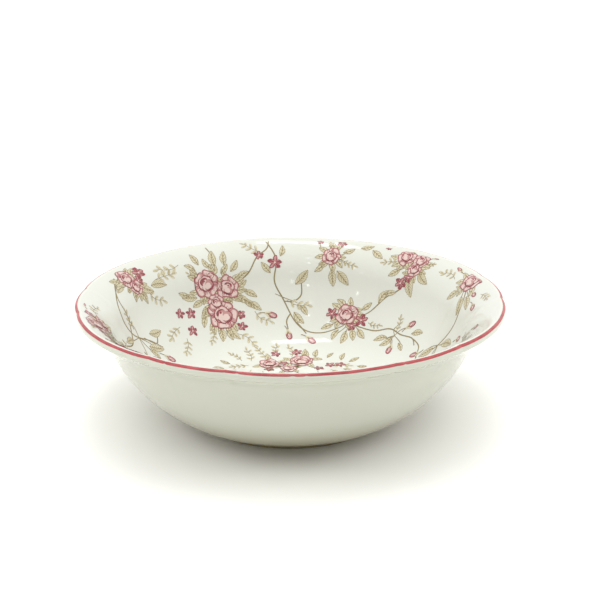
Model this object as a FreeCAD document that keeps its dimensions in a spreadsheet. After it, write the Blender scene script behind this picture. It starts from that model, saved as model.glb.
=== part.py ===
"""A round porcelain serving bowl with an everted, softly lobed rim, as it is made:
a fired body with a turned foot ring, the glaze coat over it, the transfer prints fired on to the glaze
(a ring of them on the wall and a round one in the well) and the enamel line banded along the rim.

Millimetres, +Z up. The origin is the centre of the foot ring's bearing plane.
"""

import FreeCAD, Part
import math
import os

# Driving dimensions: alias, value, meaning.
SIZES = [
    ("rim_diameter", 230.0, "finished diameter over the broad lobes"),
    ("overall_height", 66.0, "finished height, bearing plane to rim crest"),
    ("wall_thickness", 4.4, "finished wall, glaze included; the rim edge is a full round of it"),
    ("lip_lean", 63.0, "degrees that the wall leans outwards at the rim"),
    ("flare_arc", 34.6, "radius of the hollow flare below the rim, mid-wall"),
    ("shoulder_lean", 22.7, "degrees of lean where the flare meets the belly"),
    ("belly_arc", 81.5, "radius of the belly, mid-wall"),
    ("well_floor", 7.2, "height of the flat floor inside"),
    ("well_arc", 47.0, "radius between floor and wall inside"),
    ("heel_arc", 10.6, "radius between belly and base outside"),
    ("foot_diameter", 111.0, "outside of the foot ring"),
    ("foot_height", 3.0, "foot ring below the base"),
    ("foot_reach", 4.2, "foot ring's top, hidden in the base"),
    ("foot_width", 5.5, "width of the foot ring"),
    ("foot_round", 1.0, "rounding of the bearing edge"),
    ("foot_draft", 0.9, "how far each side of the foot ring narrows downwards"),
    ("bare_band", 1.2, "height of the foot ring left bare of glaze"),
    ("glaze_thickness", 0.25, "glaze coat"),
    ("print_film", 0.08, "fired transfer"),
    ("enamel_film", 0.16, "rim line"),
    ("rim_line_low", 18.0, "degrees round the rim edge, up from level, to the line's lower edge"),
    ("rim_line_high", 68.0, "degrees round the rim edge to the line's upper edge"),
    ("lobe_pairs", 6.0, "broad lobes, each followed by a narrow one"),
    ("lobe_turn", 5.0, "degrees from +X to the middle of a narrow lobe"),
    ("narrow_lobe", 20.0, "degrees that a narrow lobe spans"),
    ("notch_depth", 1.3, "notch between lobes, at the rim"),
    ("narrow_drop", 0.4, "narrow lobe's crest inside the broad one's"),
    ("flute_foot", 16.0, "height where the lobes have faded out of the wall"),
    ("print_turn", 28.0, "degrees from +X to the first wall print's edge"),
    ("print_gap", 0.4, "degrees between neighbouring wall prints"),
    ("wall_print_low", 63.0, "degrees of lean where the wall prints begin"),
    ("centre_print_high", 65.0, "degrees of lean where the centre print ends"),
]
CREST_LEAN = 84  # degrees round the rim edge to where the outside form is closed off
FLUTE_FADE = 1.5  # power of the fade from rim to flute_foot
NOTCH_SHARPNESS = 0.6  # below 1 the notches are narrow and the lobes full
OUTLINE_STEP = 5  # degrees between the points of a lobed outline


def make_sheet(doc):
    sheet = doc.addObject("Spreadsheet::Sheet", "sizes")
    for row, (alias, value, meaning) in enumerate(SIZES, start=1):
        sheet.set(f"A{row}", alias)
        sheet.set(f"B{row}", str(value))
        sheet.set(f"C{row}", meaning)
        sheet.setAlias(f"B{row}", alias)
    doc.recompute()
    return sheet


def polar(centre, radius, lean):
    """The point of an arc where a wall leaning outwards by lean degrees has its outer side."""
    turn = math.radians(lean)
    return centre[0] + radius * math.cos(turn), centre[1] - radius * math.sin(turn)


class Profile:
    """The bowl's half section: arcs about fixed centres, so that a layer is the same arcs with new radii."""

    def __init__(self, sheet):
        self.sheet = sheet
        half = sheet.wall_thickness / 2
        self.lip = (sheet.rim_diameter / 2 - half, sheet.overall_height - half)
        self.flare = polar(self.lip, sheet.flare_arc, sheet.lip_lean)
        shoulder = polar(self.flare, -sheet.flare_arc, sheet.shoulder_lean)
        self.belly = polar(shoulder, -sheet.belly_arc, sheet.shoulder_lean)
        self.belly_inside = sheet.belly_arc - half

    def side(self, face, layer, first=90):
        """(radius, height) stations of one face, from lean first to the lip: face is +1 outside, -1 inside.

        layer is how far the stations lie beyond the finished face, away from the wall."""
        sheet = self.sheet
        offset = face * (sheet.wall_thickness / 2 + layer)
        floor, turn = (sheet.foot_height, sheet.heel_arc) if face > 0 else (sheet.well_floor, sheet.well_arc)
        centre, lean = self.turn_into_belly(floor, turn, sheet.belly_arc + face * sheet.wall_thickness / 2)
        leans = spread(first, lean, 5)
        stations = [polar(centre, turn + face * layer, lean) for lean in leans]
        leans = spread(lean, sheet.shoulder_lean, 8)[1:]
        stations += [polar(self.belly, sheet.belly_arc + offset, lean) for lean in leans]
        leans = spread(sheet.shoulder_lean, sheet.lip_lean, 6)[1:]
        stations += [polar(self.flare, offset - sheet.flare_arc, lean) for lean in leans]
        return stations

    def turn_into_belly(self, floor, turn, belly):
        """Centre and last lean of the arc that leads a flat floor into a belly face."""
        rise = self.belly[1] - floor - turn
        reach = math.sqrt((belly - turn) ** 2 - rise**2)
        return (self.belly[0] + reach, floor + turn), math.degrees(math.atan2(rise, reach))

    def edge(self, layer, leans):
        return [polar(self.lip, self.sheet.wall_thickness / 2 + layer, lean) for lean in leans]

    def outside(self, layer):
        return self.side(1, layer) + self.edge(layer, spread(self.sheet.lip_lean, -CREST_LEAN, 8)[1:])

    def inside(self, layer):
        return self.side(-1, layer) + self.edge(layer, spread(self.sheet.lip_lean - 180, -90, 4)[1:])

    def lobe(self, angle, height):
        """How far the wall is drawn in at an angle in degrees: most in a notch, least on a broad lobe."""
        sheet = self.sheet
        if height <= sheet.flute_foot:
            return 0.0
        share = ((height - sheet.flute_foot) / (sheet.overall_height - sheet.flute_foot)) ** FLUTE_FADE
        pitch = 360 / sheet.lobe_pairs
        place = (angle - sheet.lobe_turn + sheet.narrow_lobe / 2) % pitch
        if place < sheet.narrow_lobe:
            part, crest = place / sheet.narrow_lobe, sheet.narrow_drop
        else:
            part, crest = (place - sheet.narrow_lobe) / (pitch - sheet.narrow_lobe), 0.0
        fullness = (4 * part * (1 - part)) ** NOTCH_SHARPNESS
        return share * (sheet.notch_depth - (sheet.notch_depth - crest) * fullness)


def spread(first, last, count):
    return [first + (last - first) * k / (count - 1) for k in range(count)]


def on_wall(profile, station, angle):
    """The point at an angle in degrees on the lobed wall, for a (radius, height) station."""
    radius, height = station
    reach = radius - profile.lobe(angle, height)
    turn = math.radians(angle)
    return FreeCAD.Vector(reach * math.cos(turn), reach * math.sin(turn), height)


def lobed_outline(profile, station):
    seam = profile.sheet.print_turn - profile.sheet.print_gap / 2
    points = [on_wall(profile, station, seam + step) for step in range(0, 360, OUTLINE_STEP)]
    curve = Part.BSplineCurve()
    curve.interpolate(Points=points, PeriodicFlag=True)
    return Part.Wire([curve.toShape()])


def lobed_form(doc, name, profile, stations):
    """A closed solid lofted through lobed outlines, one at each station."""
    form = doc.addObject("Part::Feature", name)
    form.Shape = Part.makeLoft([lobed_outline(profile, station) for station in stations], True, False)
    return form


def film(doc, name, profile, face, proud, start, turn):
    """A thin solid between two lists of stations on the wall, lofted from start through turn degrees."""
    sections = []
    for angle in spread(start, start + turn, round(turn / OUTLINE_STEP) + 1):
        rows = [[on_wall(profile, station, angle) for station in stations] for stations in (face, proud)]
        below, above = (Part.BSplineCurve() for row in rows)
        below.interpolate(rows[0])
        above.interpolate(rows[1])
        ends = [Part.LineSegment(rows[0][k], rows[1][k]) for k in (-1, 0)]
        sections.append(Part.Wire([c.toShape() for c in (below, ends[0], above, ends[1])]))
    made = doc.addObject("Part::Feature", name)
    made.Shape = Part.makeLoft(sections, True, False)
    return made


def combine(doc, kind, name, first, second):
    made = doc.addObject(kind, name)
    made.Base = first
    made.Tool = second
    return made


def foot_ring(doc, name, grow, low):
    """The drafted foot ring, grown on both of its sides, from a height up into the base."""
    draft = f"sizes.foot_draft * (1 - {low} / sizes.foot_reach)"
    cones = []
    for side, edge, sign in (("outer", "", 1), ("inner", " - sizes.foot_width", -1)):
        cone = doc.addObject("Part::Cone", f"{name}_{side}")
        top = f"sizes.foot_diameter / 2{edge} + {sign} * {grow}"
        cone.setExpression("Radius1", f"{top} - {sign} * {draft}")
        cone.setExpression("Radius2", top)
        cone.setExpression("Height", f"sizes.foot_reach - {low}")
        cone.setExpression("Placement.Base.z", low)
        cones.append(cone)
    return combine(doc, "Part::Cut", name, *cones)


def round_bearing_edge(doc, ring):
    doc.recompute()
    rounded = doc.addObject("Part::Fillet", "foot_rounded")
    rounded.Base = ring
    size = doc.sizes.foot_round
    bearing = [k + 1 for k, edge in enumerate(ring.Shape.Edges) if is_circle_at(edge, 0.0)]
    rounded.Edges = [(number, size, size) for number in bearing]
    return rounded


def is_circle_at(edge, height):
    closed = isinstance(edge.Curve, Part.Circle)
    return closed and abs(edge.Curve.Center.z - height) < 1e-6


def make_body(doc, profile, glaze):
    """The fired body: the lobed shell with its foot ring, which is turned from the same clay."""
    shell = lobed_form(doc, "body_outside", profile, profile.outside(-glaze))
    foot = round_bearing_edge(doc, foot_ring(doc, "foot", "0", "0"))
    outside = combine(doc, "Part::Fuse", "body_on_foot", shell, foot)
    cavity = lobed_form(doc, "body_cavity", profile, profile.inside(-glaze))
    return combine(doc, "Part::Cut", "bowl_body", outside, cavity)


def make_glaze(doc, profile, body):
    """The glaze: all between the finished faces and the body, down to the bare band of the foot."""
    outside = lobed_form(doc, "glaze_outside", profile, profile.outside(0))
    foot = foot_ring(doc, "glaze_foot", "sizes.glaze_thickness", "sizes.bare_band")
    whole = combine(doc, "Part::Fuse", "glaze_on_foot", outside, foot)
    cavity = lobed_form(doc, "glaze_cavity", profile, profile.inside(0))
    coat = combine(doc, "Part::Cut", "glaze_and_body", whole, cavity)
    return combine(doc, "Part::Cut", "glaze_coat", coat, body)


def make_rim_line(doc, profile, sheet):
    """The enamel line, banded over the upper outer part of the rounded edge."""
    leans = spread(-sheet.rim_line_low, -sheet.rim_line_high, 7)
    face, proud = profile.edge(0, leans), profile.edge(sheet.enamel_film, leans)
    pitch = 360 / sheet.lobe_pairs
    line = doc.addObject("Part::MultiFuse", "rim_line")
    line.Shapes = [
        film(doc, f"line_sector_{number + 1}", profile, face, proud, sheet.print_turn + pitch * number, pitch)
        for number in range(round(sheet.lobe_pairs))
    ]
    return line


def make_centre_print(doc, profile, sheet):
    """The round transfer film over the well's floor, revolved."""
    centre, _ = profile.turn_into_belly(sheet.well_floor, sheet.well_arc, profile.belly_inside)
    edges = []
    for radius in (sheet.well_arc, sheet.well_arc - sheet.print_film):
        start, middle, end = (
            FreeCAD.Vector(r, 0, z)
            for r, z in (polar(centre, radius, lean) for lean in spread(90, sheet.centre_print_high, 3))
        )
        axis = FreeCAD.Vector(0, 0, start.z)
        edges += [Part.LineSegment(axis, start), Part.Arc(start, middle, end)]
    ends = [
        Part.LineSegment(edges[0].StartPoint, edges[2].StartPoint),
        Part.LineSegment(edges[1].EndPoint, edges[3].EndPoint),
    ]
    outline = doc.addObject("Part::Feature", "centre_outline")
    outline.Shape = Part.Wire(Part.__sortEdges__([edge.toShape() for edge in edges + ends]))
    turned = doc.addObject("Part::Revolution", "centre_print")
    turned.Source = outline
    turned.Axis = (0, 0, 1)
    turned.Solid = True
    return turned


def make_wall_prints(doc, profile, sheet):
    """The ring of transfer films on the wall, one to each pair of lobes."""
    pitch = 360 / sheet.lobe_pairs
    face, proud = (profile.side(-1, layer, sheet.wall_print_low) for layer in (0, sheet.print_film))
    turn = pitch - sheet.print_gap
    return [
        film(doc, f"wall_print_{number + 1}", profile, face, proud, sheet.print_turn + pitch * number, turn)
        for number in range(round(sheet.lobe_pairs))
    ]


def check(doc, parts):
    failed = [o.Name for o in doc.Objects if "Invalid" in o.State or "Error" in o.State]
    if failed:
        raise RuntimeError(f"these objects failed: {failed}")
    for part in parts:
        shape = part.Shape
        if shape.isNull() or not shape.isValid() or not shape.Solids:
            raise RuntimeError(f"{part.Label} has no valid solid")
        print(f"{part.Label}: {len(shape.Solids)} solid, {shape.Volume:.1f} mm3")


def main():
    doc = FreeCAD.newDocument("serving_bowl")
    sheet = make_sheet(doc)
    profile = Profile(sheet)
    body = make_body(doc, profile, sheet.glaze_thickness)
    glaze = make_glaze(doc, profile, body)
    prints = [make_centre_print(doc, profile, sheet), *make_wall_prints(doc, profile, sheet)]
    parts = [body, glaze, make_rim_line(doc, profile, sheet), *prints]
    doc.recompute()
    check(doc, parts)
    os.makedirs("parts", exist_ok=True)
    for part in parts:
        part.Shape.exportStep(f"parts/{part.Label}.step")


main()
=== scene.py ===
"""Looks of the porcelain serving bowl: ivory glaze, bare foot edge, red enamel line and rose prints.

The wall has the CAD's section, arcs in millimetres, except that the base is raised. The rim's lobes draw it
in. The prints are drawn on it in spot colours, as ceramic transfers are: pale rose, rose, crimson, leaf and
stem, one over the other.
"""

import math
import random

import bpy
import numpy as np
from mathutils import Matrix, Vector


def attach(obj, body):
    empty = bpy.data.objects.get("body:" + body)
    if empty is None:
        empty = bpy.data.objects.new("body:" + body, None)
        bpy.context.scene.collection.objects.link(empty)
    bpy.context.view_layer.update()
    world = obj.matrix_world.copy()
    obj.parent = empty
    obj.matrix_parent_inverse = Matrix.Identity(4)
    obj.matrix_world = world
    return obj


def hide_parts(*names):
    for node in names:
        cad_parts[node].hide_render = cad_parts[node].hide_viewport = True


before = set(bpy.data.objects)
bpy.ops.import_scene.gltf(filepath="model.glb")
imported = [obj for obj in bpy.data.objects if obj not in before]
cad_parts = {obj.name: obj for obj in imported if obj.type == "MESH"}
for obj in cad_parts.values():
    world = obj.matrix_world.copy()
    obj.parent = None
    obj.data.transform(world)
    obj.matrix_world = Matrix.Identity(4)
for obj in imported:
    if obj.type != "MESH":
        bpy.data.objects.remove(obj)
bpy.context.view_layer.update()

MM = 0.001
# the finished section, as the CAD has it, but a hair inside the CAD's box
RIM_RADIUS, HEIGHT, HALF_WALL = 114.97, 65.95, 2.2
LIP_LEAN, SHOULDER_LEAN = 63.0, 22.7
FLARE_ARC, BELLY_ARC, WELL_ARC = 34.6, 81.5, 47.0
WELL_FLOOR = 7.2
# the base between belly and foot, raised from the CAD's 3 mm so that more of the foot shows
BASE, HEEL_ARC = 5.5, 20.0
FOOT_RADIUS, FOOT_WIDTH, FOOT_DRAFT, FOOT_ROUND, BARE_BAND = 55.5, 5.5, 0.9, 1.0, 1.2
GLAZE = 0.25
# the lobes of the rim
LOBE_PITCH, LOBE_TURN, NARROW_LOBE = 60.0, 5.0, 20.0
NOTCH_DEPTH, NARROW_DROP, FLUTE_FOOT, FLUTE_FADE, NOTCH_SHARPNESS = 1.3, 0.4, 16.0, 1.5, 0.6
AZIMUTHS = 360


def polar(centre, radius, lean):
    turn = np.radians(lean)
    return np.stack([centre[0] + radius * np.cos(turn), centre[1] - radius * np.sin(turn)], axis=-1)


LIP = polar((RIM_RADIUS - HALF_WALL, HEIGHT - HALF_WALL), 0, 0)
FLARE = polar(LIP, FLARE_ARC, LIP_LEAN)
BELLY = polar(polar(FLARE, -FLARE_ARC, SHOULDER_LEAN), -BELLY_ARC, SHOULDER_LEAN)


def turn_into_belly(floor, turn, belly):
    rise = BELLY[1] - floor - turn
    reach = math.sqrt((belly - turn) ** 2 - rise**2)
    return (BELLY[0] + reach, floor + turn), math.degrees(math.atan2(rise, reach))


def arc(centre, radius, first, last, step):
    """Points of an arc about step mm apart, its last one left to what follows."""
    count = max(3, math.ceil(abs(radius * math.radians(last - first)) / step))
    return polar(centre, radius, np.linspace(first, last, count, endpoint=False))


def wall_face(side, layer, step=1.6):
    """(radius, height) points of one face from its flat floor up to the rim crest."""
    floor, turn = (BASE, HEEL_ARC) if side > 0 else (WELL_FLOOR, WELL_ARC)
    centre, lean = turn_into_belly(floor, turn, BELLY_ARC + side * HALF_WALL)
    offset = side * (HALF_WALL + layer)
    edge = LIP_LEAN if side > 0 else LIP_LEAN - 180
    return np.concatenate(
        [
            arc(centre, turn + side * layer, 90, lean, step),
            arc(BELLY, BELLY_ARC + offset, lean, SHOULDER_LEAN, step),
            arc(FLARE, offset - FLARE_ARC, SHOULDER_LEAN, LIP_LEAN, step),
            arc(LIP, HALF_WALL + layer, edge, -90, step / 4),
            [polar(LIP, HALF_WALL + layer, -90)],
        ]
    )


def drawn_in(angle, height):
    """How far the lobes draw the wall in, in mm, at an angle in degrees and a height in mm."""
    rise = np.clip((height - FLUTE_FOOT) / (HEIGHT - FLUTE_FOOT), 0, 1)
    place = (angle - LOBE_TURN + NARROW_LOBE / 2) % LOBE_PITCH
    narrow = place < NARROW_LOBE
    part = np.where(narrow, place / NARROW_LOBE, (place - NARROW_LOBE) / (LOBE_PITCH - NARROW_LOBE))
    crest = np.where(narrow, NARROW_DROP, 0.0)
    fullness = np.clip(4 * part * (1 - part), 0, 1) ** NOTCH_SHARPNESS
    return rise**FLUTE_FADE * (NOTCH_DEPTH - (NOTCH_DEPTH - crest) * fullness)


def on_bowl(angle, radius, height):
    """Row-frame points, in metres, of the lobed bowl."""
    reach = radius - drawn_in(angle, height)
    turn = np.radians(angle)
    return np.stack([reach * np.cos(turn), reach * np.sin(turn), height + 0 * angle], axis=-1) * MM


def turned(loops):
    """Vertices and faces of closed (radius, height) loops turned round the axis; radius 0 makes a pole."""
    verts, faces = [], []
    angles = np.arange(AZIMUTHS) * 360.0 / AZIMUTHS
    for loop, closed in loops:
        rows = []
        for radius, height in loop:
            first = len(verts)
            if radius < 1e-6:
                verts.append((0.0, 0.0, height * MM))
                rows.append([first] * AZIMUTHS)
            else:
                verts.extend(map(tuple, on_bowl(angles, radius, np.full(AZIMUTHS, height))))
                rows.append(list(range(first, first + AZIMUTHS)))
        pairs = list(zip(rows, rows[1:])) + ([(rows[-1], rows[0])] if closed else [])
        for low, high in pairs:
            for k in range(AZIMUTHS):
                n = (k + 1) % AZIMUTHS
                face = [low[k], low[n], high[n], high[k]]
                face = [v for i, v in enumerate(face) if v != face[i - 1]]
                if len(face) > 2:
                    faces.append(face)
    return verts, faces


def piece(name, verts, faces, materials, replaces, slots=None):
    mesh = bpy.data.meshes.new(name)
    mesh.from_pydata(verts, [], faces)
    for material in materials:
        mesh.materials.append(material)
    if slots:
        mesh.polygons.foreach_set("material_index", slots)
    mesh.polygons.foreach_set("use_smooth", [True] * len(faces))
    mesh.validate()
    made = bpy.data.objects.new(name, mesh)
    bpy.context.scene.collection.objects.link(made)
    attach(made, "root")
    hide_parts(*replaces)
    return made


# --- materials ---------------------------------------------------------------------------------------


def linear(rgb):
    return tuple(c / 255 / 12.92 if c <= 10 else ((c / 255 + 0.055) / 1.055) ** 2.4 for c in rgb) + (1.0,)


def glossy(name, rgb, other=None, scale=30.0, roughness=(0.1, 0.16), bump=0.0, bump_scale=60.0, low=None):
    """A fired surface: its colour drifts to other over scale, its gloss varies, and it has a fine unevenness.

    With low, its colour is darkened to that, as painted shade, from 30 mm above the table down to the table.
    """
    material = bpy.data.materials.new(name)
    material.use_nodes = True
    nodes, links = material.node_tree.nodes, material.node_tree.links
    shader = nodes["Principled BSDF"]
    shader.inputs["Base Color"].default_value = linear(rgb)
    shader.inputs["IOR"].default_value = 1.5
    place = nodes.new("ShaderNodeTexCoord").outputs["Object"]

    def noise(size, detail):
        made = nodes.new("ShaderNodeTexNoise")
        made.inputs["Scale"].default_value = size
        made.inputs["Detail"].default_value = detail
        links.new(place, made.inputs["Vector"])
        return made.outputs["Fac"]

    if other:
        ramp = nodes.new("ShaderNodeValToRGB")
        ramp.color_ramp.elements[0].position, ramp.color_ramp.elements[1].position = 0.35, 0.65
        ramp.color_ramp.elements[0].color = linear(rgb)
        ramp.color_ramp.elements[1].color = linear(other)
        links.new(noise(scale, 3), ramp.inputs["Fac"])
        colour = ramp.outputs["Color"]
        # painted shade: the colour darkens towards the table
        if low:
            apart, painted_shade_ramp = nodes.new("ShaderNodeSeparateXYZ"), nodes.new("ShaderNodeMapRange")
            painted_shade_ramp.inputs["From Min"].default_value, painted_shade_ramp.inputs["From Max"].default_value = 0.0, 0.03
            painted_shade_ramp.inputs["To Min"].default_value, painted_shade_ramp.inputs["To Max"].default_value = 1.0, 0.0
            painted_shade_ramp.interpolation_type = "SMOOTHSTEP"
            blend = nodes.new("ShaderNodeMix")
            blend.data_type = "RGBA"
            blend.inputs["B"].default_value = linear(low)
            links.new(place, apart.inputs[0])
            links.new(apart.outputs["Z"], painted_shade_ramp.inputs["Value"])
            links.new(painted_shade_ramp.outputs["Result"], blend.inputs["Factor"])
            links.new(colour, blend.inputs["A"])
            colour = blend.outputs["Result"]
        links.new(colour, shader.inputs["Base Color"])
    spread = nodes.new("ShaderNodeMapRange")
    spread.inputs["To Min"].default_value, spread.inputs["To Max"].default_value = roughness
    links.new(noise(scale * 2, 4), spread.inputs["Value"])
    links.new(spread.outputs["Result"], shader.inputs["Roughness"])
    if bump:
        uneven = nodes.new("ShaderNodeBump")
        uneven.inputs["Strength"].default_value = 1.0
        uneven.inputs["Distance"].default_value = bump
        links.new(noise(bump_scale, 2), uneven.inputs["Height"])
        links.new(uneven.outputs["Normal"], shader.inputs["Normal"])
    return material


GLAZE_LOOK = glossy("ivory_glaze", (204, 205, 196), (201, 202, 192), 12.0, (0.05, 0.09), 0.00002, 45.0)
# painted shade: the outer glaze is a darker copy of the inside's, and grows darker still towards the table
OUTSIDE_PAINTED_SHADE = (158, 150, 120)
OUTSIDE_SHADED_LOOK = glossy(
    "ivory_glaze_painted_shade_outside", (196, 197, 184), (193, 194, 180), 12.0, (0.05, 0.09), 0.00002, 45.0, OUTSIDE_PAINTED_SHADE
)
# painted shade: the foot ring's outer side is glazed brown for the shadow that falls round the foot
FOOT_SHADED_LOOK = glossy("painted_shade_foot", (150, 138, 100), (142, 130, 92), 60.0, (0.1, 0.2), 0.00002, 200.0)
# painted shade: the bare bearing edge is dark brown for the contact shadow under the foot
SHADED_BISCUIT = glossy("biscuit_porcelain", (140, 126, 88), (122, 109, 74), 220.0, (0.6, 0.8), 0.00006, 2500.0)
ENAMEL = glossy("red_enamel", (168, 74, 76), (150, 56, 60), 160.0, (0.12, 0.25), 0.00001, 900.0)
INKS = {
    "pale_rose": (204, 181, 173),
    "rose": (174, 128, 125),
    "crimson": (132, 60, 66),
    "leaf": (193, 185, 156),
    "stem": (132, 118, 82),
}
INK_LOOKS = [
    glossy(f"{name}_ink", rgb, None, 90.0, (0.08, 0.16), 0.000005, 700.0) for name, rgb in INKS.items()
]
INK = {name: k for k, name in enumerate(INKS)}


# --- the bowl ----------------------------------------------------------------------------------------


def foot_side(side, grow, low):
    """The foot ring's side from height low up to the base, with a cove where they meet."""
    edge = FOOT_RADIUS if side > 0 else FOOT_RADIUS - FOOT_WIDTH
    ceiling = BASE - (grow - GLAZE)
    cove = 0.8
    heights = np.linspace(low, ceiling - cove, 4)
    radii = edge + side * (grow - FOOT_DRAFT * (1 - heights / (BASE + 1.2)))
    turn = np.linspace(0, math.pi / 2, 6)[1:]
    end = radii[-1]
    bend = np.stack([end + side * cove * (1 - np.cos(turn)), ceiling - cove + cove * np.sin(turn)], axis=-1)
    return np.concatenate([np.stack([radii, heights], axis=-1), bend])


def bearing(low_outer, low_inner):
    """The rounded bearing edge between the foot ring's two sides."""
    outer, inner = low_outer[0], low_inner[0]
    turn = np.linspace(0, math.pi / 2, 6)
    inwards, down = FOOT_ROUND * (1 - np.cos(turn)), FOOT_ROUND * (1 - np.sin(turn))
    return np.stack([outer - inwards, down], axis=-1), np.stack([inner + inwards, down], axis=-1)


def make_bowl():
    body_out, body_in = wall_face(1, -GLAZE, 4.8), wall_face(-1, -GLAZE, 4.8)
    side_out, side_in = foot_side(1, 0.0, FOOT_ROUND), foot_side(-1, 0.0, FOOT_ROUND)
    round_out, round_in = bearing(side_out[0], side_in[0])
    body = np.concatenate(
        [
            [(0, BASE + GLAZE), (20, BASE + GLAZE), (40, BASE + GLAZE)],
            side_in[::-1],
            round_in[1:],
            round_out[::-1][:-1],
            side_out,
            body_out,
            body_in[::-1][1:],
            [(30, WELL_FLOOR - GLAZE), (15, WELL_FLOOR - GLAZE), (0, WELL_FLOOR - GLAZE)],
        ]
    )
    glaze_out, glaze_in = wall_face(1, 0.0), wall_face(-1, 0.0)
    coat_out, coat_in = foot_side(1, GLAZE, BARE_BAND), foot_side(-1, GLAZE, BARE_BAND)
    under_out, under_in = foot_side(1, 0.0, BARE_BAND), foot_side(-1, 0.0, BARE_BAND)
    floor = [(r, WELL_FLOOR) for r in range(42, -1, -2)]
    main = np.concatenate(
        [
            coat_out,
            glaze_out,
            glaze_in[::-1][1:],
            floor,
            [(0, WELL_FLOOR - GLAZE), (15, WELL_FLOOR - GLAZE), (30, WELL_FLOOR - GLAZE)],
            body_in,
            body_out[::-1][1:],
            under_out[::-1],
        ]
    )
    recess = np.concatenate(
        [
            [(r, BASE) for r in range(0, 48, 3)],
            coat_in[::-1],
            under_in,
            [(40, BASE + GLAZE), (20, BASE + GLAZE), (0, BASE + GLAZE)],
        ]
    )
    verts, faces = turned([(body, False)])
    piece("bowl_body", verts, faces, [SHADED_BISCUIT], ["bowl_body"])
    verts, faces = turned([(main, True), (recess, False)])
    # painted shade: the foot ring's outer side and the outer wall take the shaded glazes
    foot, outside = (len(coat_out) - 1) * AZIMUTHS, len(glaze_out) * AZIMUTHS
    slots = [2] * foot + [1] * outside + [0] * (len(faces) - foot - outside)
    looks = [GLAZE_LOOK, OUTSIDE_SHADED_LOOK, FOOT_SHADED_LOOK]
    piece("bowl_glaze", verts, faces, looks, ["glaze_coat"], slots)


make_bowl()


# --- the prints --------------------------------------------------------------------------------------

FLOOR_END = turn_into_belly(WELL_FLOOR, WELL_ARC, BELLY_ARC - HALF_WALL)[0][0]
INSIDE = np.concatenate([[(0, WELL_FLOOR), (FLOOR_END / 2, WELL_FLOOR)], wall_face(-1, 0.0, 0.25)])
ALONG = np.concatenate([[0], np.cumsum(np.hypot(*np.diff(INSIDE, axis=0).T))])
SLOPE = np.gradient(INSIDE, ALONG, axis=0)
FILM, LAYER = 0.05, 0.014  # mm that the first ink stands proud of the glaze, and that each ink adds
SINK = 0.02  # mm that a print's underside lies in the glaze
PRINT_TOP = 137.2  # mm up the wall that no ink goes beyond
EASE = 3.2  # mm below PRINT_TOP from which a print is eased towards it
LEAF_TOP = 134.0  # mm up the wall that no leaf round a rose has its middle beyond
RING_STEP = 1.9  # mm, at most, between the rings of a patch


def on_inside(angle, along, lift):
    """Row-frame points on the inside: along is mm up the wall from the centre, lift mm off the glaze."""
    above = np.maximum(along - PRINT_TOP + EASE, 0)
    along = along - above + EASE * (1 - np.exp(-above / EASE))
    radius, height, dr, dz = (np.interp(along, ALONG, column) for column in (*INSIDE.T, *SLOPE.T))
    size = np.hypot(dr, dz)
    return on_bowl(angle, radius - lift * dz / size, height + lift * dr / size)


def radius_at(along):
    """The inside's radius, in mm, at along mm up the wall."""
    return float(np.interp(along, ALONG, INSIDE[:, 0]))


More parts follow.
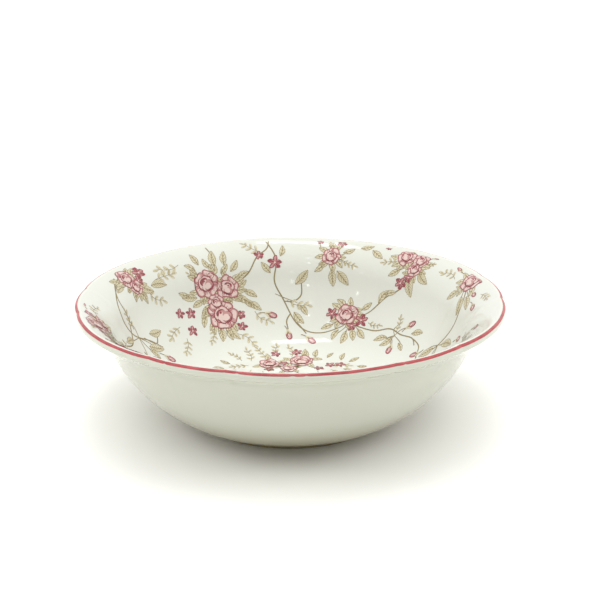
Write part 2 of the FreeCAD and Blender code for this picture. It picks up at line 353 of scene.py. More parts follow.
class Print:
    """One transfer: flat patches of ink, each in millimetres to the right and up from its own place."""

    def __init__(self, flat=False):
        self.flat = flat  # a print in the well is laid out in plan, one on the wall along the wall
        self.points, self.lifts, self.faces, self.inks = [], [], [], []

    def place(self, at, turn=0.0):
        """A function that takes a patch's local points to the wall, turned by degrees about its place."""
        spin = math.radians(turn)
        angle, along = at

        def put(points):
            points = np.asarray(points, float)
            x = points[:, 0] * math.cos(spin) - points[:, 1] * math.sin(spin)
            y = points[:, 0] * math.sin(spin) + points[:, 1] * math.cos(spin)
            if self.flat:
                out = math.radians(angle)
                east = along * math.cos(out) + y * math.cos(out) + x * math.sin(out)
                north = along * math.sin(out) + y * math.sin(out) - x * math.cos(out)
                return np.stack([np.degrees(np.arctan2(north, east)), np.hypot(east, north)], axis=-1)
            up = along + y
            return np.stack([angle - np.degrees(x / np.interp(up, ALONG, INSIDE[:, 0])), up], axis=-1)

        return put

    def add(self, places, faces, ink, level):
        first = len(self.points)
        self.points.extend(map(tuple, places))
        self.lifts.extend([FILM + level * LAYER] * len(places))
        self.faces.extend([first + k for k in face] for face in faces)
        self.inks.extend([INK[ink]] * len(faces))

    def fill(self, put, outline, ink, level, centre=None):
        """A patch inside an outline that its centre can see all of, in rings that follow the wall's curve."""
        outline = np.asarray(outline, float)
        x, y = outline.T
        if (x * np.roll(y, -1) - y * np.roll(x, -1)).sum() > 0:
            outline = outline[::-1]
        centre = outline.mean(axis=0) if centre is None else np.asarray(centre, float)
        count = len(outline)
        rings = max(1, math.ceil(np.hypot(*(outline - centre).T).max() / RING_STEP))
        points = [centre]
        for ring in range(1, rings + 1):
            points += [centre + (point - centre) * ring / rings for point in outline]
        faces = [(0, 1 + (k + 1) % count, 1 + k) for k in range(count)]
        for ring in range(1, rings):
            a, b = 1 + (ring - 1) * count, 1 + ring * count
            faces += [(a + k, a + (k + 1) % count, b + (k + 1) % count, b + k) for k in range(count)]
        self.add(put(points), faces, ink, level)

    def stroke(self, put, line, ink, level, width, taper=(1.0, 1.0)):
        """A line of ink, width mm wide in the middle and taper of that at its two ends."""
        line = np.asarray(line, float)
        along = np.gradient(line, axis=0)
        along /= np.hypot(*along.T)[:, None] + 1e-9
        part = np.linspace(0, 1, len(line))
        swell = np.sin(np.pi * part)
        ends = taper[0] * (1 - part) + taper[1] * part
        half = (width / 2 * (ends + (1 - ends) * swell))[:, None]
        side = np.stack([-along[:, 1], along[:, 0]], axis=-1) * half
        points = np.concatenate([line + side, line - side])
        n = len(line)
        self.add(put(points), [(n + k, n + k + 1, k + 1, k) for k in range(n - 1)], ink, level)

    def make(self, name, node):
        """The print's piece: every patch becomes a thin closed film, its underside a little in the glaze."""
        places, lifts = np.array(self.points), np.array(self.lifts)
        top = on_inside(places[:, 0], places[:, 1], lifts)
        under = on_inside(places[:, 0], places[:, 1], np.full(len(lifts), -SINK))
        count = len(top)
        rims = {}
        for face, ink in zip(self.faces, self.inks):
            for a, b in zip(face, face[1:] + face[:1]):
                if (b, a) in rims:
                    del rims[b, a]
                else:
                    rims[a, b] = ink
        faces = self.faces + [[count + v for v in face[::-1]] for face in self.faces]
        faces += [[b, a, count + a, count + b] for a, b in rims]
        inks = self.inks * 2 + list(rims.values())
        made = piece(name, np.concatenate([top, under]).tolist(), faces, INK_LOOKS, [node], inks)
        outward = on_inside(places[:, 0], places[:, 1], lifts + 1.0) - top
        outward /= np.linalg.norm(outward, axis=1)[:, None]
        made.data.normals_split_custom_set_from_vertices(np.concatenate([outward, outward]).tolist())


def smooth_line(points, step=1.2):
    """A Catmull-Rom line through the points, with a point about every step mm."""
    points = np.asarray(points, float)
    ends = np.concatenate([[2 * points[0] - points[1]], points, [2 * points[-1] - points[-2]]])
    line = []
    for a, b, c, d in zip(ends, ends[1:], ends[2:], ends[3:]):
        count = max(2, math.ceil(np.hypot(*(c - b)) / step))
        for t in np.arange(count) / count:
            curve = 2 * b + (c - a) * t + (2 * a - 5 * b + 4 * c - d) * t**2 + (3 * b - a - 3 * c + d) * t**3
            line.append(0.5 * curve)
    return np.array(line + [points[-1]])


def lobe_outline(length, width, ruffle, rng, count=20):
    """A petal that starts at 0,0 and points up, with a ruffled outer edge."""
    wave = rng.uniform(0, 6.28)
    points = []
    for k in range(count):
        t = 2 * math.pi * k / count
        fat = 1 + 0.18 * math.cos(t)
        x, y = width / 2 * math.sin(t) * fat, length / 2 * (1 + math.cos(t))
        grow = 1 + ruffle * math.sin(3 * t + wave) * max(0.0, math.cos(t)) * 0.5
        points.append((x * grow, y * grow))
    return np.array(points)


def spun(points, degrees, shift=(0.0, 0.0)):
    t = math.radians(degrees)
    points = np.asarray(points, float)
    x = points[:, 0] * math.cos(t) - points[:, 1] * math.sin(t) + shift[0]
    y = points[:, 0] * math.sin(t) + points[:, 1] * math.cos(t) + shift[1]
    return np.stack([x, y], axis=-1)


def petal(sheet, put, length, width, degrees, shift, level, rng, lines=7):
    """One outer rose petal: darker at its base, paler outside, with engraved lines and a drawn edge."""
    edge = lobe_outline(length, width, 0.2, rng)
    sheet.fill(put, spun(edge, degrees, shift), "rose", level)
    pale = edge * (0.66, 0.5) + (rng.uniform(-0.08, 0.08) * width, length * 0.38)
    sheet.fill(put, spun(pale, degrees, shift), "pale_rose", level + 1)
    for k in range(lines):
        lean = (k - (lines - 1) / 2) / (lines - 1)
        start, reach = length * rng.uniform(0.05, 0.35), length * rng.uniform(0.3, 0.55)
        mark = [(lean * width * (0.45 + 0.35 * t), start + reach * t) for t in np.linspace(0, 1, 5)]
        sheet.stroke(put, spun(mark, degrees, shift), "crimson", level + 2, length * 0.045, (1.3, 0.1))
    rim = np.concatenate([edge[-8:], edge[:9]])
    sheet.stroke(put, spun(rim, degrees, shift), "crimson", level + 2, length * 0.065, (0.5, 0.5))


def circle(radius, centre=(0.0, 0.0), count=22, squash=1.0):
    turn = np.linspace(0, 2 * math.pi, count, endpoint=False)
    return np.stack([centre[0] + radius * np.cos(turn), centre[1] + squash * radius * np.sin(turn)], axis=-1)


# The cup's shells, outermost first: centre, half width, half height, ink and the arc of edge that is drawn.
CUP = [
    (0.00, -0.04, 0.60, 0.56, "rose", 150, 400),
    (-0.16, 0.10, 0.40, 0.42, "pale_rose", 60, 250),
    (0.17, 0.12, 0.38, 0.40, "pale_rose", -70, 120),
    (0.00, 0.14, 0.32, 0.30, "crimson", 0, 360),
    (0.03, 0.08, 0.27, 0.22, "rose", 180, 360),
    (-0.02, 0.15, 0.17, 0.15, "pale_rose", 90, 330),
    (0.02, 0.17, 0.07, 0.06, "crimson", 0, 300),
    (-0.10, -0.20, 0.38, 0.34, "pale_rose", 150, 350),
    (0.20, -0.22, 0.32, 0.32, "rose", 190, 420),
    (0.04, -0.30, 0.30, 0.24, "pale_rose", 170, 380),
]


def rose(sheet, at, size, rng, level=8):
    """An open cabbage rose: loose outer petals, and a cup of turned-in ones that close round the heart."""
    put = sheet.place(at, rng.uniform(-40, 40))
    r = size / 2
    start = rng.uniform(0, 360)
    sheet.fill(put, circle(r * 0.7), "rose", level)
    for k in range(7):
        way = start + 360 / 7 * k + rng.uniform(-14, 14)
        out = r * rng.uniform(0.14, 0.3)
        shift = (-out * math.sin(math.radians(way)), out * math.cos(math.radians(way)))
        long, wide = r * rng.uniform(0.7, 0.88), r * rng.uniform(0.78, 1.1)
        petal(sheet, put, long, wide, way, shift, level + 1 + 3 * (k % 2), rng)
    level += 7
    for k, (x, y, wide, tall, ink, first, last) in enumerate(CUP):
        x, y = r * (x + rng.uniform(-0.03, 0.03)), r * (y + rng.uniform(-0.03, 0.03))
        wave = rng.uniform(0, 6)

        def shell(angles, grow=1.0):
            reach = [r * grow * (1 + 0.07 * math.sin(3 * t + wave)) for t in angles]
            return [(x + f * wide * math.cos(t), y + f * tall * math.sin(t)) for t, f in zip(angles, reach)]

        sheet.fill(put, shell(np.linspace(0, 2 * math.pi, 22, endpoint=False)), ink, level + 2 * k)
        span = np.radians(np.linspace(first, last, 17))
        sheet.stroke(put, shell(span), "crimson", level + 2 * k + 1, r * 0.07, (0.2, 0.2))
        for t in span[2:15:2]:
            inner = 1 - rng.uniform(0.16, 0.4)
            ends = [shell([t], grow)[0] for grow in (0.97, inner)]
            sheet.stroke(put, ends, "crimson", level + 2 * k + 1, r * 0.035, (1, 0.2))


def blossom(sheet, at, size, rng, level=6):
    """A small filler flower of five notched crimson petals with a pale eye."""
    put = sheet.place(at)
    r = size / 2
    start = rng.uniform(0, 72)
    for k in range(5):
        way = start + 72 * k + rng.uniform(-10, 10)
        edge = lobe_outline(r * rng.uniform(0.85, 1.05), r * rng.uniform(0.45, 0.65), 0.2, rng, 14)
        ground, line = ("rose", "crimson") if k in (1, 4) else ("crimson", "rose")
        sheet.fill(put, spun(edge, way), ground, level + k % 2)
        for lean in (-0.12, 0.12):
            vein = [(lean * r * (1 + t), r * t) for t in np.linspace(0.15, 0.75, 4)]
            sheet.stroke(put, spun(vein, way), line, level + 2, r * 0.09, (1, 0.1))
        rim = np.concatenate([edge[-5:], edge[:6]])
        sheet.stroke(put, spun(rim, way), "crimson", level + 2, r * 0.12, (0.4, 0.4))
    sheet.fill(put, circle(r * 0.14, (0, 0), 10), "pale_rose", level + 3)


def leaf(sheet, at, length, turn, rng, level=3, plump=0.46):
    """A serrated leaf that points along turn degrees, with its midrib, veins and darker half."""
    put = sheet.place(at, turn - 90)
    teeth = max(4, round(length / 1.6))
    bend = rng.uniform(-0.12, 0.12) * length

    def at_height(t, side):
        swell = math.sin(math.pi * min(1.0, t * 1.02)) ** 0.8 * (1.12 - 0.4 * t)
        return bend * math.sin(math.pi * t) + side * plump / 2 * length * swell, length * (t - 0.5)

    def edge(side):
        points = []
        for k in range(1, teeth):
            t = k / teeth
            x, y = at_height(t, side)
            middle = at_height(t, 0)[0]
            points += [(middle + (x - middle) * 0.93, y), (x + side * 0.01 * length, y + length * 0.04)]
        return points

    right, left = edge(1), edge(-1)
    tip, foot = at_height(1, 0), at_height(0, 0)
    rib = [at_height(t, 0) for t in np.linspace(0, 1, max(5, teeth))]
    outline = [foot, *right, tip, *left[::-1]]
    sheet.fill(put, outline, "leaf", level, (bend * 0.9, 0))
    sheet.stroke(put, [foot, *right, tip], "stem", level + 1, 0.36, (0.6, 0.6))
    sheet.stroke(put, [foot, *left, tip], "stem", level + 1, 0.26, (0.6, 0.6))
    sheet.stroke(put, rib, "stem", level + 2, 0.42, (1.4, 0.3))
    for side in (1, -1):
        for t in np.linspace(0.16, 0.78, max(3, teeth - 2)):
            x, y = at_height(t, 0)
            end = at_height(min(0.97, t + 0.2), side * 0.8)
            vein = [(x + (end[0] - x) * u, y + (end[1] - y) * u) for u in (0, 0.5, 1)]
            sheet.stroke(put, vein, "stem", level + 2, 0.36 if side > 0 else 0.26, (1, 0.3))


def bud(sheet, at, length, turn, rng, level=5):
    """A closed rosebud that points along turn degrees, held by sepals on a short stalk."""
    put = sheet.place(at, turn - 90)
    body = lobe_outline(length * 0.8, length * 0.38, 0.04, rng, 16) - (0, length * 0.2)
    sheet.fill(put, body, "rose", level)
    sheet.fill(put, body * (0.4, 0.7) + (length * 0.04, length * 0.06), "pale_rose", level + 1)
    fold = [(length * 0.1 * math.sin(3 * t), length * (-0.16 + 0.6 * t)) for t in np.linspace(0, 1, 7)]
    sheet.stroke(put, fold, "crimson", level + 2, length * 0.07, (1.4, 0.2))
    rim = np.concatenate([body[-7:], body[:8]])
    sheet.stroke(put, rim, "crimson", level + 2, length * 0.08, (0.3, 0.3))
    for side in (-1, 0, 1):
        sepal = [(side * length * 0.26 * t**1.3, length * (-0.26 + 0.42 * t)) for t in np.linspace(0, 1, 6)]
        sheet.stroke(put, sepal, "leaf" if side else "stem", level + 3, length * 0.11, (1.2, 0.1))
    stalk = [(length * 0.12 * (1 - t) ** 2, length * (-0.62 + 0.4 * t)) for t in np.linspace(0, 1, 6)]
    sheet.stroke(put, stalk, "stem", level + 3, 0.45, (1, 1.2))


def sprig(sheet, at, length, turn, rng, level=2, pairs=3):
    """A light twig of small plain leaves that points along turn degrees."""
    put = sheet.place(at, turn - 90)
    bow = rng.uniform(-0.2, 0.2) * length
    line = [(bow * math.sin(math.pi * t), length * (t - 0.5)) for t in np.linspace(0, 1, 9)]
    sheet.stroke(put, line, "stem", level, 0.3, (1.1, 0.4))
    size = length * 0.3
    blades = [(t, side) for t in np.linspace(0.22, 0.84, pairs) for side in (1, -1)] + [(1.0, 0)]
    for t, side in blades:
        x, y = bow * math.sin(math.pi * t), length * (t - 0.5)
        blade = lobe_outline(size * rng.uniform(0.85, 1.15), size * 0.42, 0.0, rng, 12)
        way = -side * rng.uniform(42, 60)
        sheet.fill(put, spun(blade, way, (x, y)), "leaf", level + 1)
        rib = [(0, size * u) for u in np.linspace(0.0, 0.8, 4)]
        sheet.stroke(put, spun(rib, way, (x, y)), "stem", level + 2, 0.26, (1, 0.3))
        rim = np.concatenate([blade[6:], blade[:1]])
        sheet.stroke(put, spun(rim, way, (x, y)), "stem", level + 2, 0.2, (0.4, 0.4))


def stem(sheet, points, width=0.85):
    """A stem along (angle, mm up the wall) points. Angles are worked in mm round the wall."""
    middle = np.mean([p[1] for p in points])
    scale = math.radians(1) * radius_at(middle)
    line = smooth_line([(-angle * scale, along) for angle, along in points])

    def put(local):
        return np.stack([-local[:, 0] / scale, local[:, 1]], axis=-1)

    sheet.stroke(put, line, "stem", 1, width, (0.8, 0.8))


def heading(heart, at, flat):
    """Degrees, from right towards up the wall, of the way from heart to at."""
    if flat:
        return 90.0
    across = -math.radians(at[0] - heart[0]) * radius_at(at[1])
    return math.degrees(math.atan2(at[1] - heart[1], across))


def foliage(sheet, at, size, rng, count=9):
    """Small leaves that look out from under a rose all round it."""
    start = rng.uniform(0, 360)
    for k in range(count):
        way = start + 360 / count * k + rng.uniform(-16, 16)
        out, length = size / 2 + rng.uniform(0.5, 2.0), rng.uniform(5.5, 8.5)
        x, y = out * math.cos(math.radians(way)), out * math.sin(math.radians(way))
        around = math.degrees(-x / (at[1] if sheet.flat else radius_at(at[1])))
        if at[1] + y < LEAF_TOP or sheet.flat:
            place = (at[0] + around, at[1] + y)
            leaf(sheet, place, length, way + rng.uniform(-25, 25), rng, 2 + 3 * (k % 2), 0.5)


MOTIFS = {"rose": rose, "blossom": blossom}
POINTED = {"leaf": leaf, "bud": bud, "sprig": sprig}


def spray(sheet, heart, motifs, rng, shift=0.0):
    """Motifs about a heart, joined to it by twigs. A pointed one points away from it, or by its own turn."""
    heart = (heart[0] + shift, heart[1])
    for kind, angle, along, size, *own in motifs:
        at = (angle + shift, along)
        way = heading(heart, at, sheet.flat) + (own[0] if own else 0.0)
        gap = math.hypot(math.radians(at[0] - heart[0]) * radius_at(along), along - heart[1])
        if 4 < gap < 15 and not sheet.flat:
            bow = rng.uniform(-2, 2)
            middle = ((at[0] + heart[0]) / 2 + bow, (at[1] + heart[1]) / 2)
            stem(sheet, [heart, middle, at], 0.5)
        if kind == "rose":
            foliage(sheet, at, size, rng)
        if kind in MOTIFS:
            MOTIFS[kind](sheet, at, size, rng)
        else:
            POINTED[kind](sheet, at, size, way, rng)


# Each spray: its heart, then its motifs as (kind, angle, mm up the wall, size in mm, extra turn).
BOUQUET = (
    (120, 101),
    [
        ("leaf", 125, 128, 9), ("leaf", 121, 124, 8, 20), ("leaf", 118, 127, 11),
        ("leaf", 114, 126, 10, 10), ("leaf", 111, 120, 9), ("leaf", 115, 119, 8, -20),
        ("leaf", 128, 123, 8, 20), ("leaf", 108, 113, 9), ("leaf", 109.5, 98, 10, -25),
        ("leaf", 110.5, 103, 11), ("leaf", 106, 101, 9, -30), ("leaf", 107, 95, 9, -30),
        ("leaf", 112.5, 99, 9, -20), ("leaf", 109, 108, 8, 10), ("leaf", 132, 105, 11),
        ("leaf", 129, 100, 9, 10), ("leaf", 128, 94, 9, 20), ("leaf", 129, 88, 8, 10),
        ("leaf", 126, 82, 8), ("leaf", 120, 76, 8, 10), ("leaf", 124, 78, 11),
        ("leaf", 117, 77, 11, 10), ("leaf", 105, 93, 10, -20), ("sprig", 113, 71, 12, 20),
        ("sprig", 146, 88, 12), ("sprig", 145, 78, 11, 10), ("sprig", 127.5, 116, 9),
        ("sprig", 102.5, 86, 11, -10), ("sprig", 129, 79, 10), ("leaf", 134, 108, 8, -10),
        ("sprig", 136, 127, 15, 40), ("blossom", 139, 97.5, 6.5), ("blossom", 134, 95.5, 7),
        ("blossom", 137, 85, 7), ("blossom", 111.5, 88.5, 6), ("blossom", 112.5, 80.5, 6.5),
        ("bud", 99.5, 87, 9, 4), ("rose", 123.5, 111.5, 17), ("rose", 115, 107, 14.5),
        ("rose", 121, 98.5, 11), ("rose", 120, 90, 19),
    ],
)
VINE = (
    (96, 100),
    [
        ("leaf", 99, 117, 9, 20), ("leaf", 85.5, 110.5, 12, 20), ("sprig", 87, 94, 13, 10),
        ("leaf", 86, 84, 10), ("leaf", 93, 128, 8), ("sprig", 103, 131, 12, 30),
        ("leaf", 84, 89, 8, -20), ("blossom", 101, 125.5, 6.5), ("blossom", 95.5, 120, 9),
        ("bud", 91, 73.5, 8.5), ("bud", 80.5, 69.5, 9, 20),
    ],
)
MIDDLE = (
    (63, 86),
    [
        ("leaf", 63, 73, 9.5), ("leaf", 67.5, 74, 8, 10), ("leaf", 55, 78, 9), ("leaf", 59, 76, 9),
        ("leaf", 57, 96, 8), ("leaf", 72.5, 79, 8), ("sprig", 51, 86, 8), ("leaf", 51, 104, 10, 20),
        ("leaf", 48.5, 107, 8, -20), ("blossom", 71.5, 88, 7.5), ("blossom", 57.5, 86.5, 8.5),
        ("blossom", 61, 82, 7), ("rose", 65, 88.5, 13.5),
    ],
)
UPPER = (
    (44, 128),
    [
        ("leaf", 37, 121.5, 12), ("leaf", 40.5, 114, 13), ("sprig", 52, 126, 10),
        ("leaf", 49.5, 120, 9), ("leaf", 46, 138.0, 5), ("sprig", 38, 131, 7), ("bud", 37.5, 137, 5.5),
        ("blossom", 45.5, 114.5, 8), ("blossom", 43, 119, 7), ("rose", 42, 125, 9.5),
        ("rose", 47.5, 132, 11.5), ("rose", 41.5, 131.5, 10.5),
    ],
)
TOP = (
    (75, 124),
    [
        ("leaf", 73.5, 111, 11), ("leaf", 69.5, 111.5, 12, 10), ("sprig", 68.5, 121, 9),
        ("leaf", 79, 117, 8), ("leaf", 69, 130, 8), ("leaf", 63, 134.5, 9),
        ("leaf", 58.5, 130, 10, -40), ("leaf", 76, 134, 6), ("blossom", 79.5, 136, 5),
        ("blossom", 72, 135.5, 6.5), ("blossom", 55.5, 137, 4.5), ("rose", 75, 125, 11.5),
    ],
)
TENDRIL = (
    (38, 83),
    [
        ("leaf", 44, 78, 9), ("leaf", 40.5, 77.5, 9), ("sprig", 39, 90, 9), ("bud", 36, 75.5, 8.5),
        ("bud", 33.5, 91.5, 8.5), ("leaf", 27, 90, 9), ("leaf", 31, 78, 7),
    ],
)
CORNER = (
    (15, 128),
    [
        ("sprig", 26.5, 128.5, 12), ("leaf", 11.5, 117, 12), ("leaf", 18.5, 120, 10),
        ("leaf", 8, 121, 11), ("leaf", 20, 133, 8), ("bud", 24, 135, 8), ("bud", 9, 127.5, 7),
        ("bud", 3, 123, 8), ("sprig", 2, 131, 10), ("leaf", 14, 137, 5), ("rose", 15, 133, 15),
    ],
)
LOW = (
    (10, 92),
    [
        ("leaf", 4.5, 96, 12), ("leaf", 13.5, 84, 11), ("bud", 18.5, 80, 8), ("bud", -2, 104, 8),
        ("sprig", -4, 90, 12), ("blossom", 9, 78, 7), ("leaf", 5, 79, 9), ("sprig", -10, 112, 12),
        ("bud", -16, 122, 8), ("leaf", -20, 108, 11),
    ],
)
SIDE = (
    (155, 126),
    [
        ("leaf", 150, 119.5, 13), ("leaf", 143.5, 118, 12, 10), ("sprig", 140, 122, 13, 10),
        ("leaf", 161, 131, 9), ("leaf", 153, 115, 10), ("sprig", 147, 113, 12), ("leaf", 157, 118, 8),
        ("leaf", 162, 125, 9), ("blossom", 148.5, 129.5, 9), ("blossom", 151, 125, 7),
        ("rose", 155.5, 129.5, 12.5), ("rose", 154, 122, 9.5),
    ],
)
LOOP = (
    (168, 97),
    [
        ("leaf", 156.5, 94, 11), ("leaf", 162, 86, 12, 20), ("leaf", 166, 84, 9),
        ("sprig", 167.5, 108, 11), ("bud", 173, 84, 9), ("leaf", 176, 100, 10), ("sprig", 183, 104, 12),
        ("bud", 160.5, 78, 9), ("leaf", 179, 88, 9),
    ],
)
FAR = (
    (200, 128),
    [
        ("leaf", 191, 120, 11), ("leaf", 207, 119, 12), ("sprig", 187, 128, 11), ("leaf", 200, 114, 11),
        ("sprig", 196, 112, 12), ("bud", 188, 136, 6), ("blossom", 193, 134, 8),
        ("blossom", 206, 127, 8), ("rose", 200, 131, 15), ("rose", 195, 125, 11), ("leaf", 198, 96, 11),
        ("leaf", 193, 88, 11), ("bud", 204, 92, 8.5), ("sprig", 204, 82, 10), ("blossom", 198, 82, 7),
    ],
)
BOUQUET_STEMS = [
    [(119, 100), (112, 108), (106, 114), (102, 124), (98, 130), (97, 137)],
    [(120, 120), (118, 127), (119, 136)],
]
VINE_STEMS = [
    [(98, 136), (95, 122), (96, 108), (93, 97), (88, 82), (82, 75), (74, 74.5), (66, 80), (64, 84)],
    [(92.5, 95), (88.5, 95), (85.5, 99), (85.5, 107)],
    [(89.8, 87), (91.6, 82), (91, 76)],
    [(87, 81), (82, 73)],
]
WALL_STEMS = [
    [(60, 88), (55, 93), (50, 104), (45, 111), (43, 120), (44, 128)],
    [(64, 84), (57, 82), (49, 82), (42, 86), (35, 85), (28, 86), (24, 83)],
    [(75, 125), (74, 117), (73, 113)],
]
CORNER_STEMS = [
    [(27, 86), (21, 84), (17, 78), (10, 74), (4, 77), (-2, 84)],
    [(15, 130), (10, 119), (8, 106), (10, 92), (14, 82)],
]
SIDE_STEMS = [
    [(157, 133), (164, 127), (170, 119), (172, 110), (170, 100), (162, 91), (158, 84)],
    [(160, 133), (167, 122), (168, 108), (175, 98), (182, 101), (190, 110), (196, 122)],
    [(165, 95), (160, 88), (156, 92)],
    [(200, 128), (201, 112), (199, 98), (196, 86)],
]


def wall_print(number, sprays, stems, shift=0.0):
    rng = random.Random(40 + number)
    sheet = Print()
    for line in stems:
        stem(sheet, [(angle + shift, along) for angle, along in line])
    for heart, motifs in sprays:
        spray(sheet, heart, motifs, rng, shift)
    sheet.make(f"wall_print_{number}", f"wall_print_{number}")


# The well's sprays, each place as degrees from the spray's middle and mm from the centre. The bed's third
# number is the way that it points, the roses' third is their size.
WELL_BED = [
    (-50, 55, 30), (-41, 58, 60), (-33, 58, 100), (-25, 57, 70), (-16, 57, 95), (-8, 57, 80), (0, 57, 100),
    (8, 58, 85), (17, 57, 110), (26, 57, 80), (34, 58, 110), (43, 57, 120), (52, 54, 150), (-46, 47, 10),
    (47, 47, 170), (-40, 39, -30), (41, 39, 200), (-30, 31, -60), (30, 31, 250), (-36, 49, 20), (37, 49, 160),
]
WELL_ROSES = [(16, 45, 12.5), (-8, 47, 14.5), (2, 36, 10)]
WELL_BLOSSOMS = [(5, 44), (-25, 40), (9, 56), (-4, 57), (20, 37), (-36, 50), (-30, 47)]
WELL_BUDS = [(57, 50, 170), (-57, 50, 10), (50, 40, 200), (-50, 40, -20)]


def centre_print():
    """Three sprays round the floor of the well, each of three roses in a long bed of leaves and buds."""
    rng = random.Random(7)
    sheet = Print(flat=True)
    for k in range(3):
        out = 90 + 120 * k
        for turn, along, way in WELL_BED:
            if rng.random() < 0.5:
                leaf(sheet, (out + turn, along), rng.uniform(5.5, 8), way, rng)
            else:
                sprig(sheet, (out + turn, along), rng.uniform(8, 11), way, rng)
        for turn, along, size in WELL_ROSES:
            foliage(sheet, (out + turn, along), size, rng, 5)
            rose(sheet, (out + turn, along), size, rng)
        for turn, along in WELL_BLOSSOMS:
            blossom(sheet, (out + turn, along), 6.0, rng)
        for turn, along, way in WELL_BUDS:
            bud(sheet, (out + turn, along), 7.5, way, rng)
    rose(sheet, (0, 0.01), 17, rng)
    for k in range(6):
        leaf(sheet, (60 * k + 20, 13), 10, 90, rng)
        blossom(sheet, (60 * k + 50, 14), 5.5, rng)
    sheet.make("centre_print", "centre_print")


centre_print()
wall_print(1, [MIDDLE, UPPER, TOP, TENDRIL], WALL_STEMS)
wall_print(2, [BOUQUET, VINE], BOUQUET_STEMS + VINE_STEMS)
wall_print(3, [SIDE, LOOP, FAR], SIDE_STEMS)
wall_print(4, [MIDDLE, UPPER, TOP, TENDRIL], WALL_STEMS, 180)
wall_print(5, [BOUQUET, VINE], BOUQUET_STEMS + VINE_STEMS, 180)
wall_print(6, [CORNER, LOW], CORNER_STEMS)


def make_rim_line():
    """The enamel line, laid by hand round the edge: its width wanders, and narrows where it is worn."""
    rng = random.Random(3)
    waves = [(n, rng.uniform(0, 6.28), rng.uniform(0.5, 1.0)) for n in (3, 5, 8, 13, 21, 34)]
    worn = [(240.0, 0.35), (258.0, 0.5), (270.5, 0.6), (273.5, 0.4), (297.0, 0.3), (128.0, 0.4), (41.0, 0.4)]
    count, across = 1440, 7
    verts, faces = [], []
    for k in range(count):
        angle = 360.0 * k / count
        wander = sum(size * math.sin(n * math.radians(angle) + turn) for n, turn, size in waves) / 3
        wear = sum(math.exp(-(((angle - at + 180) % 360 - 180) / width) ** 2) for at, width in worn)
        low = -(37 + 4 * wander + 7 * min(1.0, wear))
        high = -(79 + 2 * wander - 4 * min(1.0, wear))
        outer, inner = np.linspace(low, high, across), np.linspace(high, low, across)
        for layer, leans in ((0.06, outer), (-0.04, inner)):
            for r, z in polar(LIP, HALF_WALL + layer, leans):
                verts.append(tuple(on_bowl(np.float64(angle), r, z)))
    ring = 2 * across
    for k in range(count):
        a, b = k * ring, (k + 1) % count * ring
        faces += [(a + i, b + i, b + (i + 1) % ring, a + (i + 1) % ring) for i in range(ring)]
    piece("rim_line", verts, faces, [ENAMEL], ["rim_line"])


make_rim_line()


def make_stage():
    mesh = bpy.data.meshes.new("floor")
    size = 12.0
    corners = [(-size, -size, 0), (size, -size, 0), (size, size, 0), (-size, size, 0)]
    mesh.from_pydata(corners, [], [(0, 1, 2, 3)])
    floor = bpy.data.objects.new("floor", mesh)
    bpy.context.scene.collection.objects.link(floor)
    mesh.materials.append(glossy("floor_paper", (243, 243, 240), None, 3.0, (0.9, 0.95)))


def softbox(name, place, aim, size, power, shines=False):
    """A rectangular lamp; only one that shines is mirrored in the glaze."""
    light = bpy.data.lights.new(name, "AREA")
    light.shape = "RECTANGLE"
    light.size, light.size_y = size
    light.energy = power
    made = bpy.data.objects.new(name, light)
    made.location = place
    made.rotation_euler = (Vector(aim) - Vector(place)).to_track_quat("-Z", "Y").to_euler()
    made.visible_glossy = shines
    bpy.context.scene.collection.objects.link(made)


# the panes of a window, in metres, that the glaze mirrors
PANES = [
    (-0.15, -0.31, 0.84), (-0.17, -0.44, 0.74), (-0.19, -0.61, 0.58), (-0.03, -0.65, 0.54),
    (-0.57, -0.33, 0.55), (-0.3, -0.17, 0.85), (-0.48, -0.32, 0.66),
]


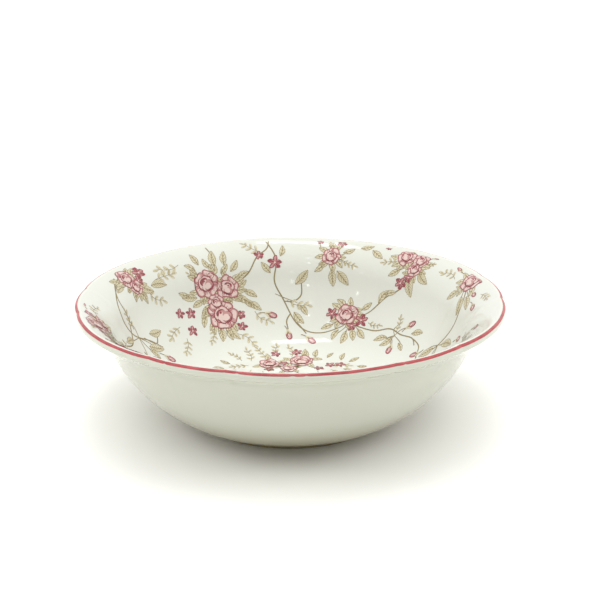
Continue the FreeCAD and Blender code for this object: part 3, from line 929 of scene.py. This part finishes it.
def make_light():
    world = bpy.data.worlds.new("studio")
    world.use_nodes = True
    nodes, links = world.node_tree.nodes, world.node_tree.links
    sky_light = nodes["Background"]
    sky_light.inputs["Color"].default_value = (1.0, 1.0, 0.99, 1.0)
    sky_light.inputs["Strength"].default_value = 0.62
    # what the camera and the glaze see past the edge of the floor
    backdrop = nodes.new("ShaderNodeBackground")
    backdrop.inputs["Color"].default_value = (1.0, 1.0, 1.0, 1.0)
    mix = nodes.new("ShaderNodeMixShader")
    ray, seen = nodes.new("ShaderNodeLightPath"), nodes.new("ShaderNodeMath")
    links.new(ray.outputs["Is Camera Ray"], seen.inputs[0])
    links.new(ray.outputs["Is Glossy Ray"], seen.inputs[1])
    links.new(seen.outputs["Value"], mix.inputs["Fac"])
    links.new(sky_light.outputs["Background"], mix.inputs[1])
    links.new(backdrop.outputs["Background"], mix.inputs[2])
    links.new(mix.outputs["Shader"], nodes["World Output"].inputs["Surface"])
    bpy.context.scene.world = world
    for name, energy, angle, tilt in (("overhead", 1.6, 1.4, -3), ("skylight", 0.35, 0.35, 0)):
        sky = bpy.data.lights.new(name, "SUN")
        sky.energy, sky.angle = energy, angle
        made = bpy.data.objects.new(name, sky)
        made.rotation_euler = (math.radians(tilt), 0, 0)
        made.visible_glossy = False
        bpy.context.scene.collection.objects.link(made)
    snoot = bpy.data.lights.new("snoot", "SPOT")
    snoot.energy, snoot.shadow_soft_size = 1.7, 0.05
    snoot.spot_size, snoot.spot_blend = math.radians(23), 0.5
    snoot.color = (0.84, 0.9, 1.0)
    made = bpy.data.objects.new("snoot", snoot)
    made.location = (0, 0, 0.65)
    made.visible_glossy = False
    bpy.context.scene.collection.objects.link(made)
    bowl = (0, 0, 0.03)
    softbox("left_box", (-1.1, -0.1, 0.7), bowl, (0.5, 0.7), 5.5)
    softbox("right_box", (1.1, -0.1, 0.7), bowl, (0.5, 0.7), 5.5)
    # the lamps seen in the glaze: a strip over the back of the bowl, and panes of a window in front of it
    softbox("strip", (-0.06, 0.25, 0.9), bowl, (0.3, 0.1), 0.5, True)
    for k, place in enumerate(PANES):
        softbox(f"pane_{k}", place, bowl, (0.03, 0.03), 0.02, True)
    bpy.context.scene.view_settings.view_transform = "Standard"
    bpy.context.scene.view_settings.look = "None"


def make_camera():
    """The photograph's view, at an assumed distance: from the front, 18 degrees above the rim's centre."""
    distance, elevation, roll = 0.575, 0.3187, -0.0065
    centre = Vector((0, 0, HEIGHT * MM))
    camera = bpy.data.cameras.new("camera")
    camera.lens, camera.sensor_width = 64.0, 36.0
    camera.shift_x, camera.shift_y = 0.0167, -0.012
    camera.clip_end = 50
    made = bpy.data.objects.new("camera", camera)
    made.location = centre + distance * Vector((0, -math.cos(elevation), math.sin(elevation)))
    made.rotation_euler = (math.pi / 2 - elevation, 0, 0)
    made.rotation_euler.rotate_axis("Z", roll)
    bpy.context.scene.collection.objects.link(made)
    bpy.context.scene.camera = made


make_stage()
make_light()
make_camera()
